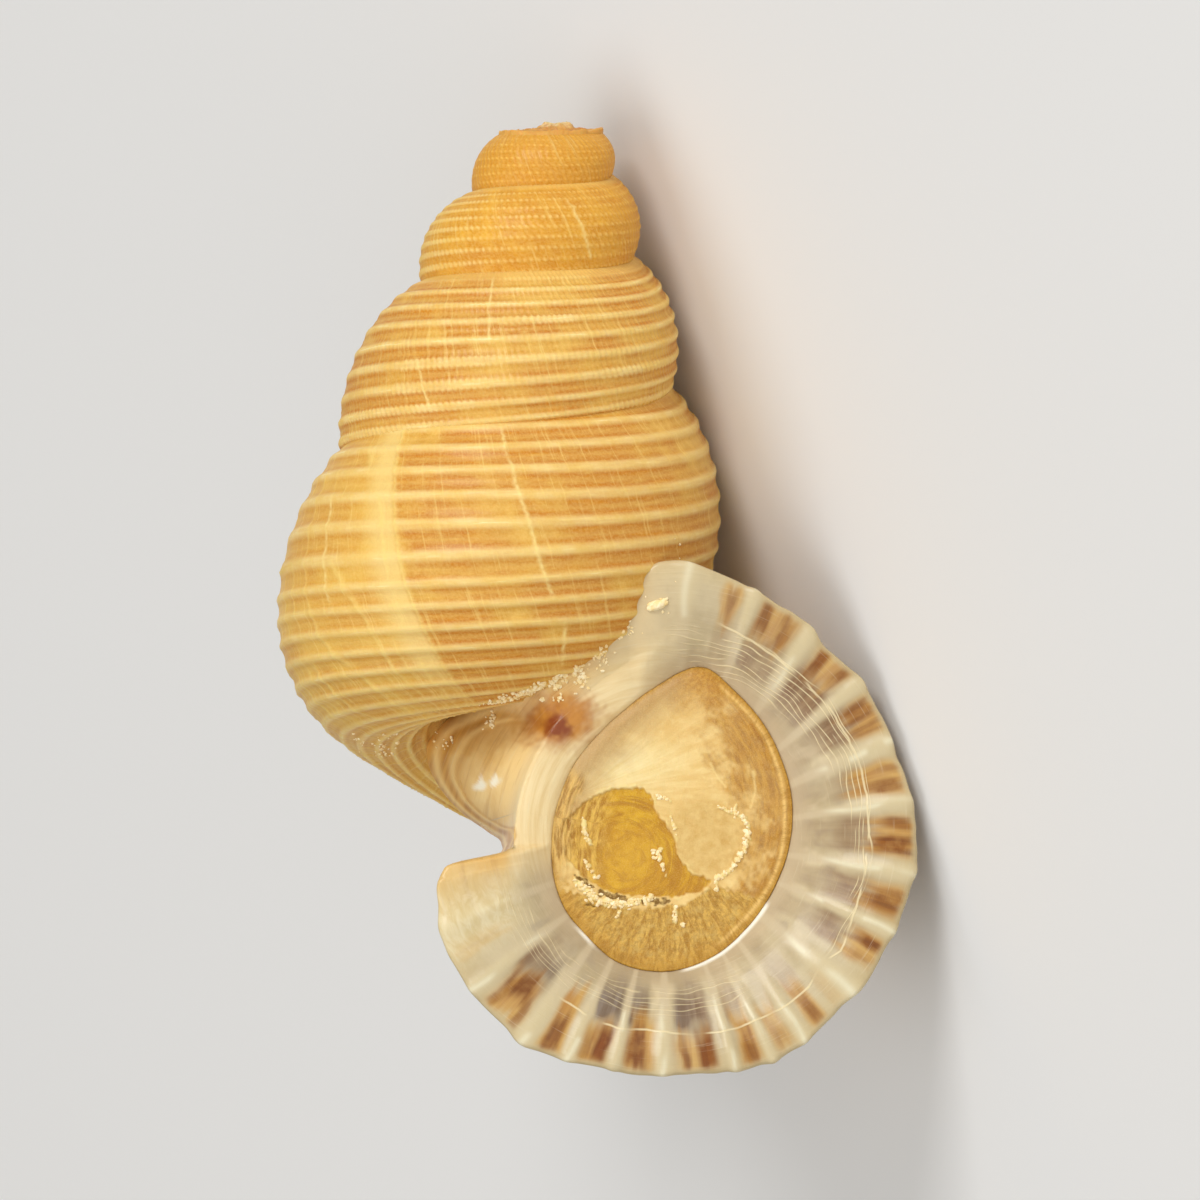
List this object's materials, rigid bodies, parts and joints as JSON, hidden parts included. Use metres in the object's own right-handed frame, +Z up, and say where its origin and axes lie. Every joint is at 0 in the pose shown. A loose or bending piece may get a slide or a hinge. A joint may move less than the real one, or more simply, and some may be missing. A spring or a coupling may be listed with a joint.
{
  "type": "land snail shell with operculum",
  "caption": "Broken-topped, right-handed land snail shell with a wide scalloped trumpet lip, lying on its side, its horny lid still closing the mouth.",
  "frame": {"origin": "bottom centre of the lying shell's box, on the surface it rests on", "axes": "+Z up; +X along the length towards the broken tip; -Y towards the side that the mouth faces"},
  "size_m": [0.0228, 0.0156, 0.0114],
  "materials": {
    "shell_lime": "silky lime shell, golden tan with cream cords and brown dashes, glossy cream and brown rayed lip",
    "operculum_horn": "amber horn under a flaking cream limy film"
  },
  "bodies": {
    "root": {"shell": "shell_lime", "operculum": "operculum_horn"}
  },
  "joints": []
}
